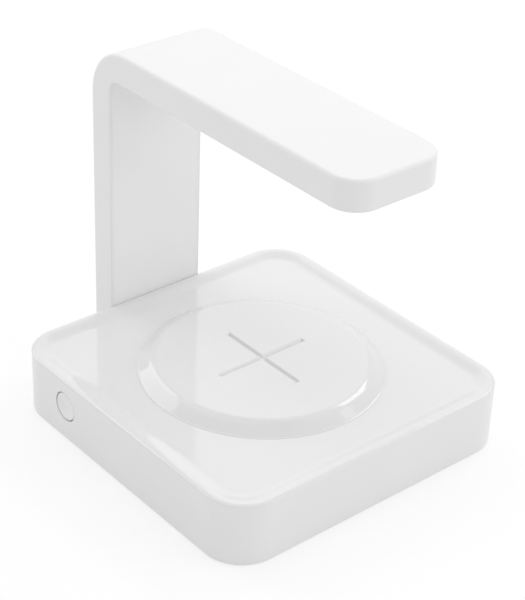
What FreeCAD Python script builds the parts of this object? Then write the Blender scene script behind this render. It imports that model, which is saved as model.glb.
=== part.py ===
import FreeCAD, Part
import math
import os

from FreeCAD import Vector

# A desk charger: a square dished base with a round charging pad, and a lamp arm on a column behind it.
# Millimetres. The origin is on the table, under the middle of the pad. -Y is the front, +Z is up.

# Overall sizes
base_side = 100.0              # width and depth of the base
base_corner_radius = 12.0
rim_height = 19.2              # table to the top of the tray's rim
arm_height = 101.0             # table to the top of the arm
arm_width = 32.6
arm_thickness = 8.8            # of the column and of the arm alike
arm_tip_setback = 1.3          # the arm's tip stays this far behind the base's front
arm_tip_radius = 8.0           # corners of the arm's tip, in plan
elbow_outer_radius = 15.0
elbow_inner_radius = 4.0

# Walls, edges and clearances
shell_wall = 2.0
cover_plate = 2.0              # thickness of the bottom cover
tray_plate = 2.0               # thickness of the tray under its floor
arm_wall = 1.8                 # of the arm's top, back and foot
arm_lip = 0.9                  # edge of the arm that shows beside the inner cover
arm_ledge = 1.7                # step inside the arm that the inner cover sits on
arm_cover_thickness = 1.6
lower_edge_round = 0.4         # lower outside edge of the base
arm_edge_round = 2.0
arm_inner_edge_round = 0.5
arm_foot_round = 0.4
fit_gap = 0.15                 # moulded pieces that drop into one another
seam_gap = 0.06                # visible seams
pad_gap = 0.05                 # fine seam round the pad's foot
screw_gap = 0.25               # screw shank in a through hole
pilot_gap = 0.05               # screw core in its boss
past = 1.0                     # how far a cutting tool runs past the face that it cuts
touch = 1e-4                   # edges this near to a plane lie on it

# Foot and bottom cover
foot_stand = 0.15              # the foot ring holds the casing this far off the table
foot_margin = 9.0              # side of the base to the foot ring
foot_width = 7.0
foot_seat_depth = 0.7
foot_edge_chamfer = 0.2
cover_recess = 0.2             # the cover lies this far inside the shell's lower edge

# Tray
rim_flange = 0.5               # height of the tray's rim over the shell's wall
rim_edge = 0.12                # upright part of the rim's outer edge
rim_width = 1.6                # outer edge to the crest
dish_depth = 0.85
dish_width = 4.9               # sloping band between the crest and the flat floor
dish_blend_radius = 12.0       # where the band runs out into the floor
lip_depth = 2.0                # locating lip inside the shell
lip_wall = 1.2

# Charging pad
pad_radius = 35.2
pad_height = 2.75              # above the tray's floor
pad_step = 0.15                # upright edge where the pad leaves the tray
pad_slope = 5.1                # width of the pad's sloping side, before its shoulder is rounded
pad_shoulder_radius = 3.0
pad_wall = 1.7
pad_seat_depth = 1.0
pad_seat_width = 5.4
pad_seat_plate = 1.95          # tray thickness under the pad's seat
pad_seat_rim = 1.8             # thick ring under the tray, past the pad's edge
plus_length = 31.0
plus_width = 1.6
plus_depth = 0.4
snap_leg_wall = 1.4
snap_leg_angle = 24.0
snap_hook = 1.2
snap_hook_height = 1.0
snap_lead_in = 0.4
snap_play = 0.05
snap_count = 3
snap_first_angle = 30.0

# Corner screws, which clamp the cover, the shell and the tray
corner_post_reach = 3.6        # middle of the post to the shell's inside corner
corner_post_radius = 4.2
corner_boss_radius = 3.4
corner_split_height = 12.0     # where the shell's post meets the tray's boss
corner_boss_roof = 1.0         # solid left over the screw in the tray
cover_screw_radius = 1.25
cover_screw_head_radius = 2.3
cover_screw_head_height = 1.3
screw_bite_gap = 0.6           # free depth past a screw's tip
drive_radius = 0.7             # hexagon socket in a screw's head
drive_share = 0.6              # depth of the socket, as a share of the head
drive_sides = 6

# Button and its switch
button_radius = 4.3
button_gap = 0.2
button_y = 25.2
button_z = 10.9
button_recess = 0.05
button_edge_round = 0.35
button_land = 0.25             # flat ring between the rounded edge and the finger dish
button_dish_depth = 0.3
button_flange_radius = 5.0
button_flange = 1.0
button_stem_radius = 1.6
button_travel = 0.4
plunger_radius = 1.75
plunger_gap = 0.2
plunger_reach = 2.0            # plunger outside the switch
plunger_root = 1.0             # plunger inside the switch
switch_width = 6.0
switch_depth = 6.0
switch_overhang = 0.5          # the switch stands out past the board's edge
switch_roof = 1.0
lip_gap_width = 13.0           # gap in the tray's lip behind the button

# Main board
board_underside = 6.4
board_thickness = 1.6
board_side_gap = 12.0          # side of the base to the board's edge
board_back_gap = 5.5
board_depth = 40.5
board_corner_radius = 2.0
board_post_radius = 2.6
board_hole_inset = 4.0
board_screw_radius = 0.95
board_screw_head_radius = 1.9
board_screw_head_height = 1.3
board_screw_length = 4.0       # below the board's top

# Power inlet
inlet_x = 27.0
inlet_width = 8.94
inlet_height = 3.26
inlet_depth = 7.3
inlet_metal = 0.3
inlet_recess = 0.5             # behind the outside of the wall
inlet_gap = 0.3
tongue_width = 6.7
tongue_thickness = 0.7
tongue_setback = 1.0

# Coil set
coil_inner_radius = 10.0
coil_thickness = 1.2
coil_to_pad = 0.3
ferrite_margin = 3.0           # the ferrite reaches this far past the coil
ferrite_thickness = 1.5
carrier_plate = 1.5
carrier_wall = 1.35
carrier_height = 4.5           # underside of the ears to the top of the rim
carrier_rim = 1.2              # rim round the ferrite
carrier_to_legs = 2.1          # room between the carrier and the pad's snap legs
ear_count = 3
ear_first_angle = 90.0
ear_screw_margin = 4.85        # edge of the tray's opening to the ear's screw
ear_half_width = 3.2
carrier_boss_radius = 2.6
carrier_boss_roof = 0.75
carrier_screw_radius = 0.8
carrier_screw_head_radius = 1.6
carrier_screw_head_height = 1.2
lead_radius = 0.5
lead_gap = 0.2
lead_spacing = 2.4
lead_notch_margin = 0.7

# Pieces on the main board: length, width, height and place of the middle
chip_size = (7.0, 7.0, 0.9)
chip_place = (16.0, 16.0)
chip_mark_radius = 0.5
chip_mark_depth = 0.1
inductor_size = (7.3, 7.3, 3.5)
inductor_place = (-14.0, 14.0)
inductor_corner = 1.2
capacitor_size = (3.2, 1.6, 1.4)
capacitor_count = 3
capacitor_pitch = 2.6
capacitor_place = (-17.0, 31.0)

# Column foot and lamp cable
arm_screw_spacing = 17.0
arm_screw_height = 9.0
arm_screw_radius = 1.25
arm_screw_head_radius = 2.6
arm_screw_head_height = 2.0
arm_screw_length = 7.5
arm_boss_radius = 3.0
cable_radius = 1.2
cable_hole_radius = 2.6
cable_lift = 2.5               # above the main board, where the cable passes the back wall
cable_lower_bend = 4.0
plug_size = (5.7, 5.0, 2.9)
plug_setback = 0.5             # behind the board's back edge
socket_wall = 0.9
socket_length = 6.0

# Clips that hold the arm's inner cover
clip_wall = 1.2
clip_length = 5.0
clip_height = 3.0
clip_hook = 0.5
clip_hook_height = 1.2
clip_lead_in = 0.6
clip_margin = 1.0              # clip to the nearest bend or corner

# Lamp
window_length = 60.0
window_width = 14.0
window_corner_radius = 4.0
window_flange = 1.5
window_flange_thickness = 0.8
lamp_board_length = 72.0
lamp_board_width = 18.0
lamp_board_thickness = 1.0
lamp_post_height = 1.6
lamp_post_radius = 2.2
lamp_screw_radius = 0.8
lamp_screw_head_radius = 1.5
lamp_screw_head_height = 0.9
lamp_screw_length = 2.2
lamp_screw_inset = 3.0
led_size = (2.8, 3.5, 0.8)
led_count = 6
led_pitch = 9.6

# Levels that follow
half_side = base_side / 2
shell_top = rim_height - rim_flange
inner_half = half_side - shell_wall
cover_bottom = foot_stand + cover_recess
cover_top = cover_bottom + cover_plate
tray_floor = rim_height - dish_depth
tray_underside = tray_floor - tray_plate
pad_seat = tray_floor - pad_seat_depth
pad_seat_underside = pad_seat - pad_seat_plate
pad_top = tray_floor + pad_height
pad_roof = pad_top - pad_wall
pad_recess_radius = pad_radius + pad_gap
pad_opening_radius = pad_recess_radius - pad_seat_width
pad_hollow_radius = pad_opening_radius - fit_gap
coil_top = pad_roof - coil_to_pad
ferrite_top = coil_top - coil_thickness
ferrite_bottom = ferrite_top - ferrite_thickness
carrier_bottom = ferrite_bottom + carrier_rim - carrier_height
ear_top = carrier_bottom + carrier_plate
ear_screw_reach = pad_opening_radius + ear_screw_margin
carrier_outer_radius = pad_hollow_radius - snap_leg_wall - carrier_to_legs
ferrite_radius = carrier_outer_radius - carrier_wall - fit_gap
coil_outer_radius = ferrite_radius - ferrite_margin
lead_reach = coil_outer_radius + lead_gap + lead_radius
foot_outer_radius = half_side - foot_margin
foot_inner_radius = foot_outer_radius - foot_width
board_top = board_underside + board_thickness
board_width = base_side - 2 * board_side_gap
board_back = half_side - board_back_gap
board_front = board_back - board_depth
plug_back = board_back - plug_setback
cable_height = board_top + cable_lift
slant = math.sqrt(0.5)         # sine and cosine of half a right angle
corner_middle = half_side - base_corner_radius
corner_post = corner_middle + (base_corner_radius - shell_wall - corner_post_reach) * slant
switch_front = -board_width / 2 - switch_overhang
switch_top = button_z + plunger_radius + plunger_gap + switch_roof
inlet_mouth = half_side - inlet_recess
inlet_z = board_top + inlet_height / 2
arm_under = arm_height - arm_thickness
arm_tip = arm_tip_setback - half_side
arm_cover_end = shell_top + seam_gap
arm_opening = arm_width - 2 * arm_lip
arm_cavity = arm_opening - 2 * arm_ledge
arm_cover_plate = arm_cover_thickness - seam_gap
clip_half = clip_length / 2 + clip_margin
clip_bend = elbow_inner_radius + arm_cover_thickness + clip_half
clip_rows_arm = (arm_tip + arm_tip_radius + clip_half, half_side - clip_bend)    # along Y
clip_rows_column = (arm_cover_end + clip_half, arm_under - clip_bend)            # along Z
arm_roof = arm_height - arm_wall
column_back = half_side + arm_thickness
lamp_board_top = arm_roof - lamp_post_height
lamp_board_bottom = lamp_board_top - lamp_board_thickness

corners = [(x * corner_post, y * corner_post) for x in (-1, 1) for y in (-1, 1)]


def cylinder(radius, x, y, bottom, top):
    return Part.makeCylinder(radius, top - bottom, Vector(x, y, bottom))


def cylinder_along(radius, start, end):
    axis = end - start
    return Part.makeCylinder(radius, axis.Length, start, axis)


def block(x_range, y_range, z_range):
    low = Vector(x_range[0], y_range[0], z_range[0])
    sizes = [high - start for start, high in (x_range, y_range, z_range)]
    return Part.makeBox(*sizes, low)


def centred(middle, size):
    return (middle - size / 2, middle + size / 2)


def rounded_block(x_range, y_range, z_range, radius):
    solid = block(x_range, y_range, z_range)
    upright = [e for e in solid.Edges if e.BoundBox.ZLength > touch]
    return solid.makeFillet(radius, upright)


def square_block(half, radius, bottom, top):
    return rounded_block((-half, half), (-half, half), (bottom, top), radius)


def fillet_where(solid, radius, chosen):
    return solid.makeFillet(radius, [e for e in solid.Edges if chosen(e)])


def lies_at_height(height):
    def test(edge):
        box = edge.BoundBox
        return abs(box.ZMin - height) < touch and abs(box.ZMax - height) < touch
    return test


def revolved(points, angle=360.0, start_angle=0.0):
    """Turn a closed outline of (radius, height) points about the upright axis."""
    outline = Part.makePolygon([Vector(r, 0, z) for r, z in points + points[:1]])
    solid = Part.Face(outline).revolve(Vector(0, 0, 0), Vector(0, 0, 1), angle)
    solid.rotate(Vector(0, 0, 0), Vector(0, 0, 1), start_angle)
    return solid


def around(reach, count, first_angle):
    """Places on a circle about the pad's axis."""
    places = []
    for number in range(count):
        angle = math.radians(first_angle + number * 360.0 / count)
        places.append((reach * math.cos(angle), reach * math.sin(angle)))
    return places


def screw(shank_radius, length, head_radius, head_height):
    """A screw that hangs from the origin: the head above, the shank below, a hexagon socket in the head."""
    head = cylinder(head_radius, 0, 0, 0, head_height)
    socket = [Vector(x, y, head_height) for x, y in around(drive_radius, drive_sides, 0)]
    depth = head_height * drive_share
    recess = Part.Face(Part.makePolygon(socket + socket[:1])).extrude(Vector(0, 0, -depth))
    return head.fuse(cylinder(shank_radius, 0, 0, -length, 0)).removeSplitter().cut(recess)


def placed(solid, position, turn_axis=Vector(1, 0, 0), turn=0.0):
    copy = solid.copy()
    copy.Placement = FreeCAD.Placement(position, FreeCAD.Rotation(turn_axis, turn))
    return copy


def stadium_along_y(width, height, x, z, start, end):
    """A flat oval of the inlet's kind, drawn across X and Z and run along Y."""
    radius = height / 2
    straight = width / 2 - radius
    middle = block((x - straight, x + straight), (start, end), (z - radius, z + radius))
    ends = [
        cylinder_along(radius, Vector(x + side * straight, start, z), Vector(x + side * straight, end, z))
        for side in (-1, 1)
    ]
    return middle.multiFuse(ends).removeSplitter()


def arm_bar(front, back, front_radius, back_radius, width, tip, bottom, tip_radius):
    """An L-shaped bar that follows the arm. Front and back are depths behind the arm's inner face."""
    front_y = half_side + front
    front_z = arm_under + front
    back_y = half_side + back
    back_z = arm_under + back
    front_mid = Vector(0, front_y - front_radius * (1 - slant), front_z - front_radius * (1 - slant))
    back_mid = Vector(0, back_y - back_radius * (1 - slant), back_z - back_radius * (1 - slant))
    front_low = Vector(0, front_y, bottom)
    front_bend = Vector(0, front_y, front_z - front_radius)
    front_turn = Vector(0, front_y - front_radius, front_z)
    front_tip = Vector(0, tip, front_z)
    back_tip = Vector(0, tip, back_z)
    back_turn = Vector(0, back_y - back_radius, back_z)
    back_bend = Vector(0, back_y, back_z - back_radius)
    back_low = Vector(0, back_y, bottom)
    outline = Part.Wire([
        Part.makeLine(front_low, front_bend),
        Part.Arc(front_bend, front_mid, front_turn).toShape(),
        Part.makeLine(front_turn, front_tip),
        Part.makeLine(front_tip, back_tip),
        Part.makeLine(back_tip, back_turn),
        Part.Arc(back_turn, back_mid, back_bend).toShape(),
        Part.makeLine(back_bend, back_low),
        Part.makeLine(back_low, front_low),
    ])
    face = Part.Face(outline)
    face.translate(Vector(-width / 2, 0, 0))
    solid = face.extrude(Vector(width, 0, 0))

    def at_tip(edge):
        box = edge.BoundBox
        return box.YMax < tip + touch and box.ZLength > touch
    return fillet_where(solid, tip_radius, at_tip)


def make_base_shell():
    outer = square_block(half_side, base_corner_radius, foot_stand, shell_top)
    outer = fillet_where(outer, lower_edge_round, lies_at_height(foot_stand))
    hollow = square_block(inner_half, base_corner_radius - shell_wall, foot_stand - past, shell_top + past)
    ring = outer.cut(hollow)
    posts = [cylinder(corner_post_radius, x, y, cover_top, corner_split_height) for x, y in corners]
    shell = ring.multiFuse([post.common(outer) for post in posts]).removeSplitter()
    hole_radius = cover_screw_radius + screw_gap
    cuts = [cylinder(hole_radius, x, y, cover_top - past, corner_split_height + past) for x, y in corners]
    outside = half_side + past
    inside = inner_half - past
    cuts.append(cylinder_along(
        button_radius + button_gap,
        Vector(-outside, button_y, button_z),
        Vector(-inside, button_y, button_z),
    ))
    cuts.append(stadium_along_y(
        inlet_width + 2 * inlet_gap, inlet_height + 2 * inlet_gap, inlet_x, inlet_z, inside, outside,
    ))
    cuts.append(cylinder_along(
        cable_hole_radius, Vector(0, inside, cable_height), Vector(0, outside, cable_height),
    ))
    for x in arm_screw_places():
        cuts.append(cylinder_along(
            arm_screw_radius + screw_gap,
            Vector(x, inside, arm_screw_height),
            Vector(x, outside, arm_screw_height),
        ))
    return shell.cut(cuts)


def make_dish():
    """What is cut from over the tray: it leaves a rounded rim, a sloping band and a flat floor."""
    outer = -half_side
    edge_z = shell_top + rim_edge
    crest_y = outer + rim_width
    floor_y = crest_y + dish_width
    rim_rise = rim_height - edge_z
    rim_bend = (rim_width ** 2 + rim_rise ** 2) / (2 * rim_rise)
    rim_turn = math.asin(rim_width / rim_bend) / 2
    rim_drop = rim_bend * (1 - math.cos(rim_turn))
    rim_mid = Vector(0, crest_y - rim_bend * math.sin(rim_turn), rim_height - rim_drop)
    # half-angle tangent of the slope that leaves the blend's arc without a kink and ends on the crest
    chord = 2 * dish_blend_radius - dish_depth
    half_tangent = (dish_width - math.sqrt(dish_width ** 2 - chord * dish_depth)) / chord
    slope = 2 * math.atan(half_tangent)
    floor_edge = Vector(0, floor_y, tray_floor)
    blend = [
        floor_edge + Vector(0, -dish_blend_radius * math.sin(a), dish_blend_radius * (1 - math.cos(a)))
        for a in (slope, slope / 2)
    ]
    corner = Vector(0, outer - past, edge_z)
    edge = Vector(0, outer, edge_z)
    crest = Vector(0, crest_y, rim_height)
    over_floor = Vector(0, floor_y, rim_height + past)
    over_corner = Vector(0, outer - past, rim_height + past)
    section = Part.Face(Part.Wire([
        Part.makeLine(corner, edge),
        Part.Arc(edge, rim_mid, crest).toShape(),
        Part.makeLine(crest, blend[0]),
        Part.Arc(blend[0], blend[1], floor_edge).toShape(),
        Part.makeLine(floor_edge, over_floor),
        Part.makeLine(over_floor, over_corner),
        Part.makeLine(over_corner, corner),
    ]))
    section.translate(Vector(-corner_middle, 0, 0))
    upright = Vector(0, 0, 1)
    bands = []
    for turn in (0, 90, 180, 270):
        straight = section.extrude(Vector(2 * corner_middle, 0, 0))
        bend = section.revolve(Vector(-corner_middle, -corner_middle, 0), upright, -90)
        for band in (straight, bend):
            band.rotate(Vector(0, 0, 0), upright, turn)
            bands.append(band)
    floor_radius = base_corner_radius - rim_width - dish_width
    middle = square_block(-floor_y, floor_radius, tray_floor, rim_height + past)
    return middle.multiFuse(bands)


def make_top_tray():
    flange = square_block(half_side, base_corner_radius, shell_top, rim_height)
    plug_half = inner_half - fit_gap
    plug_radius = base_corner_radius - shell_wall - fit_gap
    lip_bottom = tray_underside - lip_depth
    plug = square_block(plug_half, plug_radius, lip_bottom, shell_top)
    lip_half = plug_half - lip_wall
    plug = plug.cut(square_block(lip_half, plug_radius - lip_wall, lip_bottom - past, tray_underside))
    tray = flange.fuse(plug).cut(make_dish())
    seat_outer = pad_recess_radius + pad_seat_rim
    additions = [cylinder(seat_outer, 0, 0, pad_seat_underside, tray_underside)]
    for x, y in corners:
        additions.append(cylinder(corner_boss_radius, x, y, corner_split_height, tray_underside))
    ear_places = around(ear_screw_reach, ear_count, ear_first_angle)
    for x, y in ear_places:
        additions.append(cylinder(carrier_boss_radius, x, y, ear_top, tray_underside))
    tray = tray.multiFuse(additions).removeSplitter()
    cuts = [
        cylinder(pad_recess_radius, 0, 0, pad_seat, rim_height + past),
        cylinder(pad_opening_radius, 0, 0, pad_seat_underside - past, rim_height),
    ]
    for x, y in corners:
        roof = tray_floor - corner_boss_roof
        cuts.append(cylinder(cover_screw_radius + pilot_gap, x, y, corner_split_height - past, roof))
    for x, y in ear_places:
        roof = pad_seat - carrier_boss_roof
        cuts.append(cylinder(carrier_screw_radius + pilot_gap, x, y, ear_top - past, roof))
    cuts.append(block(
        (-half_side, -lip_half + fit_gap),
        centred(button_y, lip_gap_width),
        (lip_bottom - past, tray_underside),
    ))
    return tray.cut(cuts)


def make_charging_pad():
    """A shallow cap with a soft shoulder. It drops into the tray and is held by snap legs."""
    step_top = tray_floor + pad_step
    outline = Part.makePolygon([Vector(r, 0, z) for r, z in [
        (0, pad_roof),
        (pad_hollow_radius, pad_roof),
        (pad_hollow_radius, pad_seat),
        (pad_radius, pad_seat),
        (pad_radius, step_top),
        (pad_radius - pad_slope, pad_top),
        (0, pad_top),
        (0, pad_roof),
    ]])
    cap = Part.Face(outline).revolve(Vector(0, 0, 0), Vector(0, 0, 1), 360)
    cap = fillet_where(cap, pad_shoulder_radius, lies_at_height(pad_top))
    leg_inner = pad_hollow_radius - snap_leg_wall
    hook_outer = pad_hollow_radius + snap_hook
    hook_top = pad_seat_underside - snap_play
    hook_bottom = hook_top - snap_hook_height
    leg_section = [
        (leg_inner, pad_roof),
        (leg_inner, hook_bottom - snap_lead_in),
        (pad_hollow_radius, hook_bottom - snap_lead_in),
        (hook_outer, hook_bottom),
        (hook_outer, hook_top),
        (pad_hollow_radius, hook_top),
        (pad_hollow_radius, pad_roof),
    ]
    for number in range(snap_count):
        middle = snap_first_angle + number * 360.0 / snap_count
        cap = cap.fuse(revolved(leg_section, snap_leg_angle, middle - snap_leg_angle / 2))
    cap = cap.removeSplitter()
    groove = (pad_top - plus_depth, pad_top + past)
    long_way = centred(0, plus_length)
    short_way = centred(0, plus_width)
    return cap.cut([block(long_way, short_way, groove), block(short_way, long_way, groove)])


def make_bottom_cover():
    half = inner_half - fit_gap
    radius = base_corner_radius - shell_wall - fit_gap
    cover = square_block(half, radius, cover_bottom, cover_top)
    posts = [cylinder(board_post_radius, x, y, cover_top, board_underside) for x, y in board_holes()]
    cover = cover.multiFuse(posts).removeSplitter()
    seat_top = cover_bottom + foot_seat_depth
    seat = cylinder(foot_outer_radius + fit_gap, 0, 0, cover_bottom - past, seat_top)
    seat = seat.cut(cylinder(foot_inner_radius - fit_gap, 0, 0, cover_bottom - past, seat_top))
    cuts = [seat]
    well_top = cover_bottom + cover_screw_head_height
    for x, y in corners:
        cuts.append(cylinder(cover_screw_radius + screw_gap, x, y, cover_bottom, cover_top + past))
        cuts.append(cylinder(cover_screw_head_radius + screw_gap, x, y, cover_bottom - past, well_top))
    pilot_bottom = board_top - board_screw_length - screw_bite_gap
    for x, y in board_holes():
        cuts.append(cylinder(board_screw_radius + pilot_gap, x, y, pilot_bottom, board_underside + past))
    return cover.cut(cuts)


def make_foot_ring():
    ring = cylinder(foot_outer_radius, 0, 0, 0, cover_bottom + foot_seat_depth)
    ring = ring.cut(cylinder(foot_inner_radius, 0, 0, -past, cover_top))
    return ring.makeChamfer(foot_edge_chamfer, [e for e in ring.Edges if lies_at_height(0)(e)])


def make_cover_screws():
    head_seat = cover_bottom + cover_screw_head_height
    length = tray_floor - corner_boss_roof - screw_bite_gap - head_seat
    body = screw(cover_screw_radius, length, cover_screw_head_radius, cover_screw_head_height)
    return [placed(body, Vector(x, y, head_seat), turn=180) for x, y in corners]


def make_button_cap():
    face = -half_side + button_recess
    inside = -inner_half
    stem_end = switch_front - plunger_reach
    levels = [(button_radius, face, inside), (button_flange_radius, inside, inside + button_flange)]
    levels.append((button_stem_radius, inside + button_flange, stem_end))
    pieces = [
        cylinder_along(radius, Vector(start, button_y, button_z), Vector(end, button_y, button_z))
        for radius, start, end in levels
    ]
    cap = pieces[0].multiFuse(pieces[1:]).removeSplitter()

    def at_face(edge):
        return edge.BoundBox.XMax < face + touch
    cap = fillet_where(cap, button_edge_round, at_face)
    dish_radius = button_radius - button_edge_round - button_land
    bend = (dish_radius ** 2 + button_dish_depth ** 2) / (2 * button_dish_depth)
    dish_middle = Vector(face + button_dish_depth - bend, button_y, button_z)
    return cap.cut(Part.makeSphere(bend, dish_middle, Vector(1, 0, 0)))


def make_switch_body():
    body = block(
        (switch_front, switch_front + switch_depth),
        centred(button_y, switch_width),
        (board_top, switch_top),
    )
    bore_end = switch_front + plunger_root + button_travel + plunger_gap
    bore = cylinder_along(
        plunger_radius + plunger_gap,
        Vector(switch_front - past, button_y, button_z),
        Vector(bore_end, button_y, button_z),
    )
    return body.cut(bore)


def make_switch_plunger():
    return cylinder_along(
        plunger_radius,
        Vector(switch_front - plunger_reach, button_y, button_z),
        Vector(switch_front + plunger_root, button_y, button_z),
    )


def board_holes():
    reach = board_width / 2 - board_hole_inset
    rows = (board_front + board_hole_inset, board_back - board_hole_inset)
    return [(side * reach, y) for side in (-1, 1) for y in rows]


def make_main_board():
    board = rounded_block(
        centred(0, board_width),
        (board_front, board_back),
        (board_underside, board_top),
        board_corner_radius,
    )
    radius = board_screw_radius + screw_gap
    return board.cut([
        cylinder(radius, x, y, board_underside - past, board_top + past) for x, y in board_holes()
    ])


def make_board_screws():
    body = screw(board_screw_radius, board_screw_length, board_screw_head_radius, board_screw_head_height)
    return [placed(body, Vector(x, y, board_top)) for x, y in board_holes()]


def make_usb_socket():
    """A drawn metal tube, open at the wall and closed by its back plate."""
    back = inlet_mouth - inlet_depth
    tube = stadium_along_y(inlet_width, inlet_height, inlet_x, inlet_z, back, inlet_mouth)
    hollow = stadium_along_y(
        inlet_width - 2 * inlet_metal, inlet_height - 2 * inlet_metal, inlet_x, inlet_z,
        back + inlet_metal, inlet_mouth + past,
    )
    return tube.cut(hollow)


def make_usb_tongue():
    root = inlet_mouth - inlet_depth + inlet_metal
    return block(
        centred(inlet_x, tongue_width),
        (root, inlet_mouth - tongue_setback),
        centred(inlet_z, tongue_thickness),
    )


def make_charge_coil():
    coil = cylinder(coil_outer_radius, 0, 0, ferrite_top, coil_top)
    return coil.cut(cylinder(coil_inner_radius, 0, 0, ferrite_top - past, coil_top + past))


def lead_notch():
    width = lead_spacing + 2 * (lead_radius + lead_notch_margin)
    reach = lead_radius + lead_gap
    return block(centred(0, width), centred(lead_reach, 2 * reach), (carrier_bottom - past, coil_top))


def make_ferrite_sheet():
    return cylinder(ferrite_radius, 0, 0, ferrite_bottom, ferrite_top).cut(lead_notch())


def make_coil_carrier():
    """A moulded cup that holds the ferrite and the coil up under the pad, with ears for its screws."""
    inner = carrier_outer_radius - carrier_wall
    platform = ferrite_bottom - carrier_plate
    cup = revolved([
        (0, platform),
        (inner, platform),
        (inner, carrier_bottom),
        (carrier_outer_radius, carrier_bottom),
        (carrier_outer_radius, ferrite_bottom + carrier_rim),
        (inner, ferrite_bottom + carrier_rim),
        (inner, ferrite_bottom),
        (0, ferrite_bottom),
    ])
    holes = []
    for number, (x, y) in enumerate(around(ear_screw_reach, ear_count, ear_first_angle)):
        turn = ear_first_angle + number * 360.0 / ear_count
        arm = block((inner, ear_screw_reach), centred(0, 2 * ear_half_width), (carrier_bottom, ear_top))
        arm.rotate(Vector(0, 0, 0), Vector(0, 0, 1), turn)
        cup = cup.multiFuse([arm, cylinder(ear_half_width, x, y, carrier_bottom, ear_top)])
        radius = carrier_screw_radius + screw_gap
        holes.append(cylinder(radius, x, y, carrier_bottom - past, ear_top + past))
    return cup.removeSplitter().cut(holes + [lead_notch()])


def make_carrier_screws():
    length = pad_seat - carrier_boss_roof - screw_bite_gap - carrier_bottom
    body = screw(carrier_screw_radius, length, carrier_screw_head_radius, carrier_screw_head_height)
    return [
        placed(body, Vector(x, y, carrier_bottom), turn=180)
        for x, y in around(ear_screw_reach, ear_count, ear_first_angle)
    ]


def make_coil_leads():
    top = coil_top - coil_thickness / 2
    return [cylinder(lead_radius, side * lead_spacing / 2, lead_reach, board_top, top) for side in (-1, 1)]


def on_board(size, place):
    return centred(place[0], size[0]), centred(place[1], size[1]), (board_top, board_top + size[2])


def make_controller_chip():
    body = block(*on_board(chip_size, chip_place))
    corner = chip_size[0] / 2 - 2 * chip_mark_radius
    top = board_top + chip_size[2]
    mark = cylinder(
        chip_mark_radius, chip_place[0] - corner, chip_place[1] - corner, top - chip_mark_depth, top + past,
    )
    return body.cut(mark)


def make_power_inductor():
    return rounded_block(*on_board(inductor_size, inductor_place), inductor_corner)


def make_tuning_capacitors():
    first = capacitor_place[1] - (capacitor_count - 1) * capacitor_pitch / 2
    return [
        block(*on_board(capacitor_size, (capacitor_place[0], first + number * capacitor_pitch)))
        for number in range(capacitor_count)
    ]


def arm_screw_places():
    return [side * arm_screw_spacing / 2 for side in (-1, 1)]


def arm_outside():
    solid = arm_bar(
        0, arm_thickness, elbow_inner_radius, elbow_outer_radius,
        arm_width, arm_tip, foot_stand, arm_tip_radius,
    )

    def runs_across(box):
        return box.XLength > arm_width - touch

    def outer_edge(edge):
        box = edge.BoundBox
        on_top = box.ZMin > arm_height - touch
        on_back = box.YMin > column_back - touch
        on_elbow = box.YMax > column_back - touch and box.ZMax > arm_height - touch
        return (on_top or on_back or on_elbow) and not runs_across(box)

    def inner_edge(edge):
        box = edge.BoundBox
        return box.YMax < half_side + touch and box.ZMax < arm_under + touch and not runs_across(box)
    solid = fillet_where(solid, arm_edge_round, outer_edge)
    solid = fillet_where(solid, arm_inner_edge_round, inner_edge)
    return fillet_where(solid, arm_foot_round, lies_at_height(foot_stand))


def clip_hook_level():
    hook_top = arm_cover_plate + clip_height
    return hook_top - clip_hook_height, hook_top


def along_arm(section, length):
    """Short bars of one section at each clip. Points are (distance from the middle, depth in the arm)."""
    bars = []
    for side in (-1, 1):
        for row in clip_rows_arm:
            points = [Vector(side * x, row - length / 2, arm_under + depth) for x, depth in section]
            bars.append(Part.Face(Part.makePolygon(points + points[:1])).extrude(Vector(0, length, 0)))
        for row in clip_rows_column:
            points = [Vector(side * x, half_side + depth, row - length / 2) for x, depth in section]
            bars.append(Part.Face(Part.makePolygon(points + points[:1])).extrude(Vector(0, 0, length)))
    return bars


def make_arm_shell():
    """The L-shaped moulding, open along its inner face, with bosses in its foot for screws from the base."""
    outside = arm_outside()
    opening = arm_bar(
        -past, arm_cover_thickness, elbow_inner_radius - past, elbow_inner_radius + arm_cover_thickness,
        arm_opening, arm_tip + arm_lip, arm_cover_end, arm_tip_radius - arm_lip,
    )
    cavity = arm_bar(
        arm_cover_plate, arm_thickness - arm_wall,
        elbow_inner_radius + arm_cover_plate, elbow_outer_radius - arm_wall,
        arm_cavity, arm_tip + arm_lip + arm_ledge, foot_stand + arm_wall,
        arm_tip_radius - arm_lip - arm_ledge,
    )
    hook_bottom, hook_top = clip_hook_level()
    side = arm_cavity / 2
    pocket = [
        (side - past, hook_bottom - snap_play),
        (side + clip_hook, hook_bottom - snap_play),
        (side + clip_hook, hook_top + fit_gap),
        (side - past, hook_top + fit_gap),
    ]
    shell = outside.cut([opening, cavity] + along_arm(pocket, clip_length + 2 * fit_gap))
    additions = []
    cuts = []
    for x in arm_screw_places():
        additions.append(cylinder_along(
            arm_boss_radius,
            Vector(x, half_side, arm_screw_height),
            Vector(x, column_back - arm_wall, arm_screw_height),
        ))
        tip = inner_half + arm_screw_length + screw_bite_gap
        cuts.append(cylinder_along(
            arm_screw_radius + pilot_gap,
            Vector(x, half_side - past, arm_screw_height),
            Vector(x, tip, arm_screw_height),
        ))
    for y in lamp_screw_rows():
        additions.append(cylinder(lamp_post_radius, 0, y, lamp_board_top, arm_roof))
        top = lamp_board_bottom + lamp_screw_length + screw_bite_gap
        cuts.append(cylinder(lamp_screw_radius + pilot_gap, 0, y, lamp_board_top - past, top))
    cuts.append(cylinder_along(
        cable_hole_radius, Vector(0, half_side - past, cable_height),
        Vector(0, half_side + arm_cover_thickness + past, cable_height),
    ))
    return shell.multiFuse(additions).removeSplitter().cut(cuts)


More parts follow.
